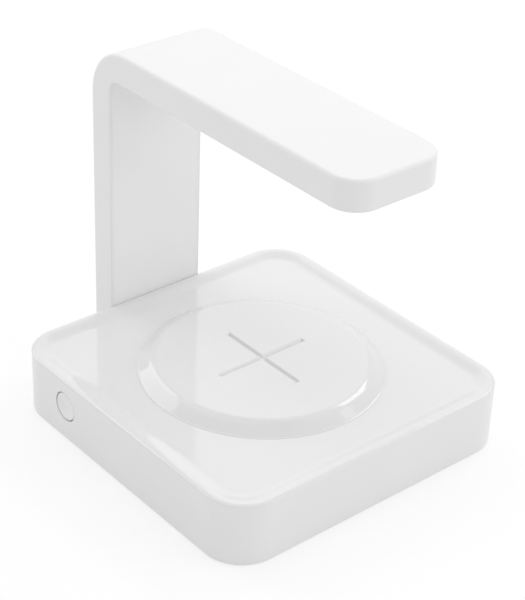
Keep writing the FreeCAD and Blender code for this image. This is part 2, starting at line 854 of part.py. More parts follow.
def window_block(grow, bottom, top):
    return rounded_block(
        centred(0, window_width + 2 * grow), centred(0, window_length + 2 * grow), (bottom, top),
        window_corner_radius + grow,
    )


def make_arm_inner_cover():
    """A thin bent plate that closes the arm's inner face, with clips that hook into the arm's walls."""
    cover = arm_bar(
        0, arm_cover_plate, elbow_inner_radius, elbow_inner_radius + arm_cover_plate,
        arm_opening - 2 * seam_gap, arm_tip + arm_lip + seam_gap, arm_cover_end + seam_gap,
        arm_tip_radius - arm_lip - seam_gap,
    )
    hook_bottom, hook_top = clip_hook_level()
    face = arm_cavity / 2 - fit_gap
    clip = [
        (face - clip_wall, arm_cover_plate),
        (face, arm_cover_plate),
        (face, hook_bottom),
        (face + clip_hook, hook_bottom),
        (face + clip_hook, hook_top - clip_lead_in),
        (face, hook_top),
        (face - clip_wall, hook_top),
    ]
    cover = cover.multiFuse(along_arm(clip, clip_length)).removeSplitter()
    return cover.cut(window_block(seam_gap, arm_under - past, arm_height))


def make_lamp_window():
    pane_top = arm_under + arm_cover_thickness
    pane = window_block(0, arm_under, pane_top)
    flange = window_block(window_flange, pane_top, pane_top + window_flange_thickness)
    return pane.fuse(flange).removeSplitter()


def lamp_screw_rows():
    reach = lamp_board_length / 2 - lamp_screw_inset
    return [-reach, reach]


def make_lamp_board():
    board = block(
        centred(0, lamp_board_width), centred(0, lamp_board_length), (lamp_board_bottom, lamp_board_top),
    )
    radius = lamp_screw_radius + screw_gap
    return board.cut([
        cylinder(radius, 0, y, lamp_board_bottom - past, lamp_board_top + past) for y in lamp_screw_rows()
    ])


def make_lamp_board_screws():
    body = screw(lamp_screw_radius, lamp_screw_length, lamp_screw_head_radius, lamp_screw_head_height)
    return [placed(body, Vector(0, y, lamp_board_bottom), turn=180) for y in lamp_screw_rows()]


def make_lamp_leds():
    first = -(led_count - 1) * led_pitch / 2
    level = (lamp_board_bottom - led_size[2], lamp_board_bottom)
    return [
        block(centred(0, led_size[0]), centred(first + number * led_pitch, led_size[1]), level)
        for number in range(led_count)
    ]


def make_arm_screws():
    body = screw(arm_screw_radius, arm_screw_length, arm_screw_head_radius, arm_screw_head_height)
    return [placed(body, Vector(x, inner_half, arm_screw_height), turn=90) for x in arm_screw_places()]


def make_lamp_cable():
    """From the lamp board's end, round the elbow, down the column and through the back wall to its plug."""
    column_y = half_side + (arm_cover_thickness + arm_thickness - arm_wall) / 2
    arm_z = (lamp_board_top + lamp_board_bottom) / 2
    start = Vector(0, lamp_board_length / 2 + seam_gap, arm_z)
    elbow_middle = column_back - elbow_outer_radius
    radius = column_y - elbow_middle
    upper_turn = Vector(0, elbow_middle, arm_z)
    upper_bend = Vector(0, column_y, arm_z - radius)
    upper_mid = upper_turn + Vector(0, radius * slant, -radius * (1 - slant))
    lower_bend = Vector(0, column_y, cable_height + cable_lower_bend)
    lower_turn = Vector(0, column_y - cable_lower_bend, cable_height)
    lower_mid = lower_turn + Vector(0, cable_lower_bend * slant, cable_lower_bend * (1 - slant))
    route = Part.Wire([
        Part.makeLine(start, upper_turn),
        Part.Arc(upper_turn, upper_mid, upper_bend).toShape(),
        Part.makeLine(upper_bend, lower_bend),
        Part.Arc(lower_bend, lower_mid, lower_turn).toShape(),
        Part.makeLine(lower_turn, Vector(0, plug_back, cable_height)),
    ])
    ring = Part.Wire(Part.makeCircle(cable_radius, start, Vector(0, 1, 0)))
    return route.makePipeShell([ring], True, True)


def make_lamp_plug():
    front = plug_back - plug_size[1]
    return block(centred(0, plug_size[0]), (front, plug_back), centred(cable_height, plug_size[2]))


def make_lamp_socket():
    """A shroud on the main board, open towards the back wall, with the plug inside."""
    front = plug_back - plug_size[1]
    half_height = plug_size[2] / 2 + fit_gap
    width = plug_size[0] + 2 * fit_gap
    outer = block(
        centred(0, width + 2 * socket_wall),
        (front - socket_wall, front - socket_wall + socket_length),
        (board_top, cable_height + half_height + socket_wall),
    )
    hollow = block(
        centred(0, width), (front - fit_gap, plug_back + past), centred(cable_height, 2 * half_height),
    )
    return outer.cut(hollow)


pieces = {
    "base_shell": make_base_shell,
    "top_tray": make_top_tray,
    "charging_pad": make_charging_pad,
    "bottom_cover": make_bottom_cover,
    "foot_ring": make_foot_ring,
    "cover_screws": make_cover_screws,
    "button_cap": make_button_cap,
    "switch_body": make_switch_body,
    "switch_plunger": make_switch_plunger,
    "main_board": make_main_board,
    "board_screws": make_board_screws,
    "usb_socket": make_usb_socket,
    "usb_tongue": make_usb_tongue,
    "charge_coil": make_charge_coil,
    "ferrite_sheet": make_ferrite_sheet,
    "coil_carrier": make_coil_carrier,
    "carrier_screws": make_carrier_screws,
    "coil_leads": make_coil_leads,
    "controller_chip": make_controller_chip,
    "power_inductor": make_power_inductor,
    "tuning_capacitors": make_tuning_capacitors,
    "arm_shell": make_arm_shell,
    "arm_inner_cover": make_arm_inner_cover,
    "lamp_window": make_lamp_window,
    "lamp_board": make_lamp_board,
    "lamp_board_screws": make_lamp_board_screws,
    "lamp_leds": make_lamp_leds,
    "arm_screws": make_arm_screws,
    "lamp_cable": make_lamp_cable,
    "lamp_plug": make_lamp_plug,
    "lamp_socket": make_lamp_socket,
}

os.makedirs("parts", exist_ok=True)
for name, make in pieces.items():
    shape = make()
    if isinstance(shape, list):
        shape = Part.makeCompound(shape)
    shape.exportStep(f"parts/{name}.step")
    state = "valid" if shape.isValid() else "not valid"
    print(name, len(shape.Solids), "solids", round(shape.Volume, 2), "mm3", state)
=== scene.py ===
import math
import bmesh
import bpy
from mathutils import Matrix, Vector


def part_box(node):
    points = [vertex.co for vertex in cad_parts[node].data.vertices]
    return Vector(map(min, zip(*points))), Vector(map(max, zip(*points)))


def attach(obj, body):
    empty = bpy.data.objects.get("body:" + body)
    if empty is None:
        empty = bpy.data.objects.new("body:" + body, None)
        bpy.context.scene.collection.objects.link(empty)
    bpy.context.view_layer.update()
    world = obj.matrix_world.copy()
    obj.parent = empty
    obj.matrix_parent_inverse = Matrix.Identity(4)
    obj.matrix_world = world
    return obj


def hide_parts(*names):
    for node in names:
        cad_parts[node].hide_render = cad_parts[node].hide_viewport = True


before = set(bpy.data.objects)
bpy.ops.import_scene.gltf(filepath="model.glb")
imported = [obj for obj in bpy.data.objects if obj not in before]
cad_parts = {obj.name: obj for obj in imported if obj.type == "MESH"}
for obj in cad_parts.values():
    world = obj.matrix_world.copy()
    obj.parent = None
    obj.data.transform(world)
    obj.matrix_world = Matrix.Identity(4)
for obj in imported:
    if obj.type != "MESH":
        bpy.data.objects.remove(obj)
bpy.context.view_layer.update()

mm = 0.001
scene = bpy.context.scene
print("frame loaded:", len(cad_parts), "pieces")


# colours are written as sRGB and handed to the shaders as linear light
def hexColour(code):
    steps = [int(code[i:i + 2], 16) / 255 for i in (1, 3, 5)]
    return [s / 12.92 if s <= 0.04045 else ((s + 0.055) / 1.055) ** 2.4 for s in steps] + [1.0]


# one node: plain settings go to attributes or sockets, links are output sockets
def addNode(tree, kind, settings=None, links=None):
    node = tree.nodes.new(kind)
    for name, value in (settings or {}).items():
        if isinstance(name, int) or name in node.inputs:
            node.inputs[name].default_value = value
        else:
            setattr(node, name, value)
    for name, source in (links or {}).items():
        tree.links.new(source, node.inputs[name])
    return node


def newMaterial(name):
    material = bpy.data.materials.new(name)
    material.use_nodes = True
    material.node_tree.nodes.clear()
    return material, material.node_tree


# what every finish ends in: mottle breaks up its gloss, relief its surface
def closeFinish(tree, look, colour, mottle, relief):
    smooth, dull = look["rough"]
    rough = addNode(tree, "ShaderNodeMapRange", {"To Min": smooth, "To Max": dull}, {"Value": mottle})
    bump = addNode(tree, "ShaderNodeBump", {"Strength": look["bump"], "Distance": look["reliefMm"] * mm},
                   {"Height": relief})
    shader = addNode(tree, "ShaderNodeBsdfPrincipled", look["sockets"],
                     {"Base Color": colour, "Roughness": rough.outputs["Result"],
                      "Normal": bump.outputs["Normal"]})
    addNode(tree, "ShaderNodeOutputMaterial", None, {"Surface": shader.outputs["BSDF"]})


# moulded, cast or pressed stuff: slow colour drift, and a skin grain that breaks up the gloss
def mouldedFinish(name, look):
    material, tree = newMaterial(name)
    place = {"Vector": addNode(tree, "ShaderNodeTexCoord").outputs["Object"]}
    cloud = addNode(tree, "ShaderNodeTexNoise", {"Scale": 1 / (look["cloudMm"] * mm), "Detail": 2.0}, place)
    grain = addNode(tree, "ShaderNodeTexNoise", {"Scale": 1 / (look["grainMm"] * mm), "Detail": 3.0}, place)
    tints = {"data_type": "RGBA", 6: hexColour(look["low"]), 7: hexColour(look["high"])}
    colour = addNode(tree, "ShaderNodeMix", tints, {0: cloud.outputs["Fac"]})
    closeFinish(tree, look, colour.outputs[2], grain.outputs["Fac"], grain.outputs["Fac"])
    return material


# satin moulded ABS: broad soft highlights; real grain is near 0.1 mm, drawn coarser so that it shows
satinWhite = mouldedFinish("satin moulded ABS", {
    "low": "#EAEAEA", "high": "#EDEDED", "cloudMm": 18, "grainMm": 0.6, "rough": (0.36, 0.44),
    "bump": 0.05, "reliefMm": 0.1, "sockets": {"IOR": 1.54}})
# polished moulded ABS: mirrors what stands over it, with the slight wave of a moulded face
glossWhite = mouldedFinish("polished moulded ABS", {
    "low": "#E1E1E1", "high": "#E3E3E3", "cloudMm": 30, "grainMm": 24, "rough": (0.06, 0.09),
    "bump": 0.05, "reliefMm": 0.02, "sockets": {"IOR": 1.56}})
# buffed moulded ABS of the arm's inner face, painted light: its white is set lighter than the tray's
# polished white so that this face under the arm shows brighter; its reflections run softer
buffedWhitePaintedLight = mouldedFinish("buffed moulded ABS lightened as painted light", {
    "low": "#EEEEEE", "high": "#F0F0F0", "cloudMm": 30, "grainMm": 20, "rough": (0.1, 0.14),
    "bump": 0.05, "reliefMm": 0.02, "sockets": {"IOR": 1.56}})
# spark-eroded ABS of the underside: dry and even, with a grain that a fingernail feels
sparkWhite = mouldedFinish("spark-textured ABS", {
    "low": "#E4E4E3", "high": "#E9E9E8", "cloudMm": 12, "grainMm": 0.8, "rough": (0.5, 0.68),
    "bump": 0.25, "reliefMm": 0.12, "sockets": {"IOR": 1.54}})
# plain moulded ABS of the inner frames: no polish, faint flow marks
plainMoulding = mouldedFinish("plain moulded ABS", {
    "low": "#DAD9D4", "high": "#E4E3DE", "cloudMm": 7, "grainMm": 1.4, "rough": (0.42, 0.56),
    "bump": 0.12, "reliefMm": 0.1, "sockets": {"IOR": 1.54}})
# cast silicone rubber: dull and slightly velvety, picks up a little dust
siliconeRubber = mouldedFinish("cast silicone rubber", {
    "low": "#D2D2D0", "high": "#DEDEDC", "cloudMm": 5, "grainMm": 0.9, "rough": (0.68, 0.82),
    "bump": 0.2, "reliefMm": 0.1, "sockets": {"IOR": 1.41, "Sheen Weight": 0.15}})
# glass-filled connector plastic: black, with the dull mottle of its fibres
blackNylon = mouldedFinish("glass-filled nylon", {
    "low": "#161617", "high": "#242425", "cloudMm": 1.2, "grainMm": 0.5, "rough": (0.42, 0.6),
    "bump": 0.15, "reliefMm": 0.05, "sockets": {"IOR": 1.53}})
# moulded epoxy of chips and chokes: near black, fine and dry
epoxyBlack = mouldedFinish("moulded epoxy", {
    "low": "#1B1B1D", "high": "#29292B", "cloudMm": 2.0, "grainMm": 0.3, "rough": (0.5, 0.66),
    "bump": 0.15, "reliefMm": 0.03, "sockets": {"IOR": 1.55}})
# sintered ferrite: charcoal with lighter crystal specks
ferriteGrey = mouldedFinish("sintered ferrite", {
    "low": "#2A2A2B", "high": "#45454A", "cloudMm": 0.8, "grainMm": 0.4, "rough": (0.45, 0.65),
    "bump": 0.2, "reliefMm": 0.04, "sockets": {"IOR": 2.0}})
# fired ceramic of the capacitors: tan, smooth, slightly mottled
capCeramic = mouldedFinish("fired ceramic", {
    "low": "#A98F6C", "high": "#C0A783", "cloudMm": 1.0, "grainMm": 0.4, "rough": (0.35, 0.5),
    "bump": 0.1, "reliefMm": 0.02, "sockets": {"IOR": 1.7}})
# light package: white moulding whose resin shows yellow
ledResin = mouldedFinish("silicone-filled light package", {
    "low": "#EFE3A4", "high": "#F4EFDA", "cloudMm": 2.4, "grainMm": 0.6, "rough": (0.25, 0.4),
    "bump": 0.05, "reliefMm": 0.02, "sockets": {"IOR": 1.42, "Subsurface Weight": 0.1}})
# extruded PVC of the inner cable: soft gloss, faint draw marks
cableJacket = mouldedFinish("extruded PVC", {
    "low": "#E2E2E0", "high": "#ECECEA", "cloudMm": 9, "grainMm": 1.1, "rough": (0.36, 0.48),
    "bump": 0.1, "reliefMm": 0.04, "sockets": {"IOR": 1.53}})
# frosted polycarbonate: milky, scatters what is behind it
frostedPane = mouldedFinish("frosted polycarbonate", {
    "low": "#E6E7E7", "high": "#EDEEEE", "cloudMm": 20, "grainMm": 0.5, "rough": (0.4, 0.5),
    "bump": 0.1, "reliefMm": 0.05, "sockets": {"IOR": 1.585, "Transmission Weight": 0.25}})


# metal with tool marks: turned rings or drawn lines, spaced by a real pitch
def workedMetal(name, look):
    material, tree = newMaterial(name)
    place = {"Vector": addNode(tree, "ShaderNodeTexCoord").outputs["Object"]}
    # a wave texture repeats every tau / 20 units at scale 1
    spacing = math.tau / 20 / (look["pitchMm"] * mm)
    marks = addNode(tree, "ShaderNodeTexWave",
                    {"wave_type": "BANDS", "bands_direction": look["across"], "Scale": spacing,
                     "Distortion": 2.0, "Detail": 2.0}, place)
    stain = addNode(tree, "ShaderNodeTexNoise", {"Scale": 1 / (look["stainMm"] * mm), "Detail": 3.0}, place)
    tints = {"data_type": "RGBA", 6: hexColour(look["low"]), 7: hexColour(look["high"])}
    colour = addNode(tree, "ShaderNodeMix", tints, {0: stain.outputs["Fac"]})
    closeFinish(tree, look, colour.outputs[2], marks.outputs["Fac"], marks.outputs["Fac"])
    return material


# zinc-plated steel: cool grey with a pale passivated bloom
zincSteel = workedMetal("zinc-plated steel", {
    "low": "#A9ABAE", "high": "#C3C6C8", "stainMm": 1.5, "across": "Z", "pitchMm": 0.3,
    "rough": (0.28, 0.42), "bump": 0.15, "reliefMm": 0.01, "sockets": {"Metallic": 1.0}})
# nickel-plated drawn steel: bright and slightly warm, drawn along the inlet's depth
nickelSteel = workedMetal("nickel-plated drawn steel", {
    "low": "#BDB8B0", "high": "#D0CCC4", "stainMm": 3.0, "across": "X", "pitchMm": 0.35,
    "rough": (0.18, 0.3), "bump": 0.15, "reliefMm": 0.005, "sockets": {"Metallic": 1.0}})
# gold-flashed copper of the contacts: warm and bright, lightly stained
contactGold = workedMetal("gold-flashed copper", {
    "low": "#D9B45A", "high": "#E8C87A", "stainMm": 0.8, "across": "Y", "pitchMm": 0.3,
    "rough": (0.2, 0.32), "bump": 0.15, "reliefMm": 0.004, "sockets": {"Metallic": 1.0}})
# enamelled copper strands: warm metal under a thin amber varnish
copperWire = workedMetal("enamelled copper", {
    "low": "#B8693A", "high": "#CC7F4A", "stainMm": 2.0, "across": "DIAGONAL", "pitchMm": 0.5,
    "rough": (0.25, 0.38), "bump": 0.15, "reliefMm": 0.03,
    "sockets": {"Metallic": 1.0, "Coat Weight": 0.6, "Coat Roughness": 0.15}})


# glass-fibre board under solder resist: tracks show as slightly lighter runs
def resistBoard(name, look):
    material, tree = newMaterial(name)
    place = {"Vector": addNode(tree, "ShaderNodeTexCoord").outputs["Object"]}
    long, wide, gap = (size * mm for size in look["trackMm"])
    tracks = addNode(tree, "ShaderNodeTexBrick",
                     {"Scale": 1.0, "Brick Width": long, "Row Height": wide, "Mortar Size": gap,
                      "Color1": hexColour(look["field"]), "Color2": hexColour(look["field2"]),
                      "Mortar": hexColour(look["track"])}, place)
    weave = addNode(tree, "ShaderNodeTexNoise", {"Scale": 1 / (look["weaveMm"] * mm), "Detail": 2.0}, place)
    closeFinish(tree, look, tracks.outputs["Color"], weave.outputs["Fac"], tracks.outputs["Fac"])
    return material


# green resist of the main board: half gloss over the faint ridges of the tracks
greenBoard = resistBoard("green solder resist on glass fibre", {
    "field": "#1F5A38", "field2": "#215F3C", "track": "#2F7A4E", "trackMm": (9.0, 2.4, 0.18),
    "weaveMm": 0.6, "rough": (0.28, 0.42), "bump": 0.2, "reliefMm": 0.02, "sockets": {"IOR": 1.55}})
# white resist of the lamp board: throws the light back, and its tracks hardly show
whiteBoard = resistBoard("white solder resist on glass fibre", {
    "field": "#E9E9E5", "field2": "#EBEBE7", "track": "#F2F2EE", "trackMm": (12.0, 4.0, 0.25),
    "weaveMm": 0.6, "rough": (0.28, 0.42), "bump": 0.2, "reliefMm": 0.02, "sockets": {"IOR": 1.55}})

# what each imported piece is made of; pieces modelled below bring their own
nodeFinish = {
    "base_shell": satinWhite, "top_tray": glossWhite, "charging_pad": glossWhite, "bottom_cover": sparkWhite,
    "foot_ring": siliconeRubber, "cover_screws": zincSteel, "button_cap": satinWhite,
    "switch_body": blackNylon, "switch_plunger": blackNylon, "main_board": greenBoard,
    "board_screws": zincSteel, "usb_socket": nickelSteel, "usb_tongue": blackNylon,
    "charge_coil": copperWire, "ferrite_sheet": ferriteGrey, "coil_carrier": plainMoulding,
    "carrier_screws": zincSteel, "coil_leads": copperWire, "controller_chip": epoxyBlack,
    "power_inductor": epoxyBlack, "tuning_capacitors": capCeramic, "arm_shell": satinWhite,
    "arm_inner_cover": buffedWhitePaintedLight, "lamp_window": frostedPane, "lamp_board": whiteBoard,
    "lamp_board_screws": zincSteel, "lamp_leds": ledResin, "arm_screws": zincSteel,
    "lamp_cable": cableJacket, "lamp_plug": plainMoulding, "lamp_socket": plainMoulding,
}
for node, material in nodeFinish.items():
    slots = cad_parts[node].data.materials
    slots.clear()
    slots.append(material)
print("finishes set:", len(nodeFinish))


# piece sizes are in millimetres until addPiece hands the mesh over in metres
tiny = 1e-4
xAxis, yAxis, zAxis = Vector((1, 0, 0)), Vector((0, 1, 0)), Vector((0, 0, 1))


def boxMm(node):
    return [Vector(corner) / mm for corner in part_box(node)]


def edgesWhere(solid, test):
    return [e for e in solid.edges if all(test(v.co) for v in e.verts)]


def facesWhere(solid, test):
    return [f for f in solid.faces if all(test(v.co) for v in f.verts)]


def facesAtHeight(solid, height):
    return facesWhere(solid, lambda c: abs(c.z - height) < tiny)


def uprightEdges(edges):
    return [e for e in edges if abs(e.verts[0].co.z - e.verts[1].co.z) > tiny]


# every edge at these corners, once and in a fixed order
def edgesOf(verts):
    return list(dict.fromkeys(e for v in verts for e in v.link_edges))


def onlyKind(geom, kind):
    return [g for g in geom if isinstance(g, kind)]


def roundEdges(solid, edges, radius, steps):
    bmesh.ops.bevel(solid, geom=edges, offset=radius, offset_type="OFFSET", segments=steps, profile=0.5,
                    affect="EDGES", material=-1)


def insetFaces(solid, faces, inward, deep=0.0):
    bmesh.ops.inset_region(solid, faces=faces, thickness=inward, depth=deep,
                           use_even_offset=True, use_boundary=True)


# cuts across some faces and gives back what they have become
def cutFaces(solid, faces, place, across):
    around = list(dict.fromkeys(part for f in faces for part in (f, *f.edges, *f.verts)))
    cut = bmesh.ops.bisect_plane(solid, geom=around, plane_co=place, plane_no=across, dist=tiny)
    return onlyKind(cut["geom"], bmesh.types.BMFace)


# lifts or sinks one flat face and leaves an upright wall behind it
def pushFace(solid, face, rise):
    pushed = bmesh.ops.extrude_discrete_faces(solid, faces=[face])["faces"][0]
    bmesh.ops.translate(solid, vec=(0, 0, rise), verts=pushed.verts)
    return pushed


# draws the next ring of a round wall from a loop of edges
def pullLoop(solid, loop, radius, height):
    grown = bmesh.ops.extrude_edge_only(solid, edges=loop)["geom"]
    verts = onlyKind(grown, bmesh.types.BMVert)
    share = radius / verts[0].co.xy.length
    bmesh.ops.scale(solid, vec=(share, share, 1), verts=verts)
    bmesh.ops.translate(solid, vec=(0, 0, height - verts[0].co.z), verts=verts)
    return onlyKind(grown, bmesh.types.BMEdge)


# turns an outline of (distance, place along the axis) points once round an axis
def turnOutline(solid, outline, middle, along, across, steps, closed=False):
    points = [solid.verts.new(middle + across * reach + along * place) for reach, place in outline]
    ends = points[1:] + points[:1] if closed else points[1:]
    edges = [solid.edges.new(pair) for pair in zip(points, ends)]
    bmesh.ops.spin(solid, geom=points + edges, cent=middle, axis=along, angle=math.tau, steps=steps,
                   use_merge=True)
    bmesh.ops.remove_doubles(solid, verts=solid.verts, dist=tiny)
    bmesh.ops.recalc_face_normals(solid, faces=solid.faces)


def addPiece(solid, name, look):
    bmesh.ops.remove_doubles(solid, verts=solid.verts, dist=tiny)
    bmesh.ops.recalc_face_normals(solid, faces=solid.faces)
    for face in solid.faces:
        face.smooth = True
    for edge in solid.edges:
        edge.smooth = edge.is_manifold and edge.calc_face_angle() < math.radians(look["hardDegrees"])
    openEdges = sum(not edge.is_manifold for edge in solid.edges)
    bmesh.ops.scale(solid, vec=(mm, mm, mm), verts=solid.verts)
    mesh = bpy.data.meshes.new(name)
    solid.to_mesh(mesh)
    solid.free()
    mesh.materials.append(look["finish"])
    piece = bpy.data.objects.new(name, mesh)
    scene.collection.objects.link(piece)
    # flats keep their own direction beside narrow rounds
    piece.modifiers.new("evenFlats", "WEIGHTED_NORMAL").keep_sharp = True
    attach(piece, look["body"])
    if "node" in look:
        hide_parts(look["node"])
    print(name, "has", len(mesh.polygons), "faces,", openEdges, "open edges")


# tray: rounded rim, sloping band, flat floor, and the seat that the pad drops into
traySet = {"node": "top_tray", "body": "base", "slot": "gloss_top", "finish": glossWhite, "hardDegrees": 35,
           "corner": 12.0, "cornerSteps": 24, "flange": 0.5, "rimEdge": 0.12, "rimWide": 0.9, "rimSteps": 8,
           "dishDeep": 0.85, "dishWide": 5.6, "dishSteps": 14, "floorBorder": 0.6, "plugInset": 2.15,
           "lipWall": 1.2, "lipDeep": 2.0, "plate": 2.0, "recess": 35.25, "seatDeep": 1.0,
           "opening": 29.85, "seatPlate": 1.95, "seatRim": 1.8}


# (inward, height) points over the rim and down the dish
def rimSection(look, crest, edgeTop):
    # rim: an arc that is level at the crest
    rise = crest - edgeTop
    bend = (look["rimWide"] ** 2 + rise ** 2) / (2 * rise)
    turn = math.asin(look["rimWide"] / bend)
    section = []
    for step in range(1, look["rimSteps"] + 1):
        angle = turn * (1 - step / look["rimSteps"])
        section.append((look["rimWide"] - bend * math.sin(angle), crest - bend * (1 - math.cos(angle))))
    # dish: half a cosine wave down to the floor
    for step in range(1, look["dishSteps"] + 1):
        share = step / look["dishSteps"]
        fall = look["dishDeep"] * (1 - math.cos(math.pi * share)) / 2
        section.append((look["rimWide"] + look["dishWide"] * share, crest - fall))
    return section


def makeTray(look):
    half, crest = boxMm(look["node"])[1].xz
    floor = crest - look["dishDeep"]
    wallTop = crest - look["flange"]
    edgeTop = wallTop + look["rimEdge"]
    solid = bmesh.new()
    bmesh.ops.create_cube(solid, size=2 * half)
    bmesh.ops.scale(solid, vec=(1, 1, look["rimEdge"] / (2 * half)), verts=solid.verts)
    bmesh.ops.translate(solid, vec=(0, 0, (edgeTop + wallTop) / 2), verts=solid.verts)
    roundEdges(solid, uprightEdges(solid.edges), look["corner"], look["cornerSteps"])
    top = facesAtHeight(solid, edgeTop)[0]
    under = facesAtHeight(solid, wallTop)[0]
    inward, height = 0.0, edgeTop
    for nextInward, nextHeight in rimSection(look, crest, edgeTop):
        insetFaces(solid, [top], nextInward - inward, nextHeight - height)
        inward, height = nextInward, nextHeight
    insetFaces(solid, [top], look["floorBorder"])
    # round opening in the floor, with the pad's seat and the thick ring below it
    floorLoop = list(top.edges)
    bmesh.ops.delete(solid, geom=[top], context="FACES_ONLY")
    ring = bmesh.ops.create_circle(solid, radius=look["recess"], segments=len(floorLoop),
                                   matrix=Matrix.Translation((0, 0, floor)))["verts"]
    loop = edgesOf(ring)
    bmesh.ops.bridge_loops(solid, edges=floorLoop + loop)
    seat = floor - look["seatDeep"]
    seatUnder = seat - look["seatPlate"]
    underside = floor - look["plate"]
    ringOut = look["recess"] + look["seatRim"]
    for radius, level in ((look["recess"], seat), (look["opening"], seat), (look["opening"], seatUnder),
                          (ringOut, seatUnder), (ringOut, underside)):
        loop = pullLoop(solid, loop, radius, level)
    # locating lip inside the shell
    insetFaces(solid, [under], look["plugInset"])
    under = pushFace(solid, under, underside - look["lipDeep"] - wallTop)
    insetFaces(solid, [under], look["lipWall"])
    under = pushFace(solid, under, look["lipDeep"])
    lipLoop = list(under.edges)
    bmesh.ops.delete(solid, geom=[under], context="FACES_ONLY")
    bmesh.ops.bridge_loops(solid, edges=lipLoop + loop)
    addPiece(solid, "tray_top", look)
    return floor


trayFloor = makeTray(traySet)

# charging pad: a shallow cap whose feather edge covers the seam, with a plus-shaped groove
padSet = {"node": "charging_pad", "body": "base", "slot": "pad_plastic", "finish": glossWhite,
          "hardDegrees": 35, "shoulderFrom": 29.4, "shoulderWide": 2.8, "shoulderSteps": 16,
          "featherEdge": 0.25, "footLift": 0.08, "cove": 0.8, "coveSteps": 4, "seatDeep": 1.0, "wall": 1.7,
          "hollow": 29.7, "turnSteps": 240, "flatBorder": 8.0, "plusLong": 31.0, "plusWide": 1.6,
          "plusDeep": 0.7, "plusDraft": 0.45, "plusEdge": 0.12, "plusEdgeSteps": 2}


# (distance, height) points from the flat top round to the hollow underneath
def padOutline(look, body, top):
    foot = body + look["featherEdge"]
    coveEnd = trayFloor + look["footLift"]
    # soft shoulder, straight slope, and a small cove that runs out on the tray with a low step
    wide, cove = look["shoulderWide"], look["cove"]
    straight = foot - cove - look["shoulderFrom"] - wide
    steep = (top - coveEnd) / (wide / 2 + straight + cove / 2)
    outline = []
    for step in range(look["shoulderSteps"] + 1):
        reach = wide * step / look["shoulderSteps"]
        outline.append((look["shoulderFrom"] + reach, top - steep * reach ** 2 / (2 * wide)))
    for step in range(look["coveSteps"], -1, -1):
        reach = cove * step / look["coveSteps"]
        outline.append((foot - reach, coveEnd + steep * reach ** 2 / (2 * cove)))
    seat = trayFloor - look["seatDeep"]
    outline += [(foot, trayFloor), (body, trayFloor), (body, seat)]
    outline += [(look["hollow"], seat), (look["hollow"], top - look["wall"])]
    return outline


def makePad(look):
    body, top = boxMm(look["node"])[1].xz
    solid = bmesh.new()
    turnOutline(solid, padOutline(look, body, top), Vector(), zAxis, xAxis, look["turnSteps"])
    bmesh.ops.holes_fill(solid, edges=solid.edges, sides=0)
    bmesh.ops.recalc_face_normals(solid, faces=solid.faces)
    flat = max(facesAtHeight(solid, top), key=lambda f: f.calc_area())
    insetFaces(solid, [flat], look["flatBorder"])
    # the groove's outline is cut into the flat, then the plus sinks with a little draft
    wide, long = look["plusWide"] / 2, look["plusLong"] / 2
    patch = [flat]
    for axis in (xAxis, yAxis):
        for place in (-long, -wide, wide, long):
            patch = cutFaces(solid, patch, axis * place, axis)
    groove = []
    for face in patch:
        x, y = (abs(value) for value in face.calc_center_median().xy)
        if min(x, y) < wide and max(x, y) < long:
            groove.append(face)
    insetFaces(solid, groove, look["plusDraft"], -look["plusDeep"])
    rimEdges = [e for e in edgesWhere(solid, lambda c: abs(c.z - top) < tiny)
                if any(min(v.co.z for v in f.verts) < top - tiny for f in e.link_faces)
                and max(abs(value) for v in e.verts for value in v.co.xy) < long + tiny]
    roundEdges(solid, rimEdges, look["plusEdge"], look["plusEdgeSteps"])
    addPiece(solid, "pad_cap", look)


makePad(padSet)

# arm: an L-shaped moulding, hollow behind its glossy inner liner
armSet = {"node": "arm_shell", "body": "base", "slot": "satin_shell", "finish": satinWhite,
          "hardDegrees": 35, "thick": 8.8, "elbowOuter": 15.0, "elbowInner": 4.0, "elbowSteps": 20,
          "tipRound": 8.0, "tipSteps": 14, "squareDegrees": 60, "edgeRound": 1.1, "edgeSteps": 6,
          "innerEdge": 0.5, "innerSteps": 3, "footRound": 0.15, "footSteps": 3, "lip": 0.9,
          "linerDeep": 1.56, "linerEnd": 18.5, "ledge": 1.7, "wall": 1.8, "bendSlack": 0.01}


# a bent bar seen from the side as an L: inner and outer are the (y, z) corners of its two faces
def bentBar(solid, inner, outer, width, tip, bottom):
    outline = [(inner[0], bottom), (outer[0], bottom), outer, (tip, outer[1]), (tip, inner[1]), inner]
    side = solid.faces.new([solid.verts.new((-width / 2, y, z)) for y, z in outline])
    grown = bmesh.ops.extrude_face_region(solid, geom=[side])["geom"]
    bmesh.ops.translate(solid, vec=(width, 0, 0), verts=onlyKind(grown, bmesh.types.BMVert))
    bmesh.ops.recalc_face_normals(solid, faces=solid.faces)


def roundElbow(solid, corner, radius, steps):
    edges = edgesWhere(solid, lambda c: abs(c.y - corner[0]) < tiny and abs(c.z - corner[1]) < tiny)
    roundEdges(solid, edges, radius, steps)


def roundTip(solid, tip, radius, steps):
    edges = edgesWhere(solid, lambda c: abs(c.y - tip) < tiny)
    roundEdges(solid, uprightEdges(edges), radius, steps)


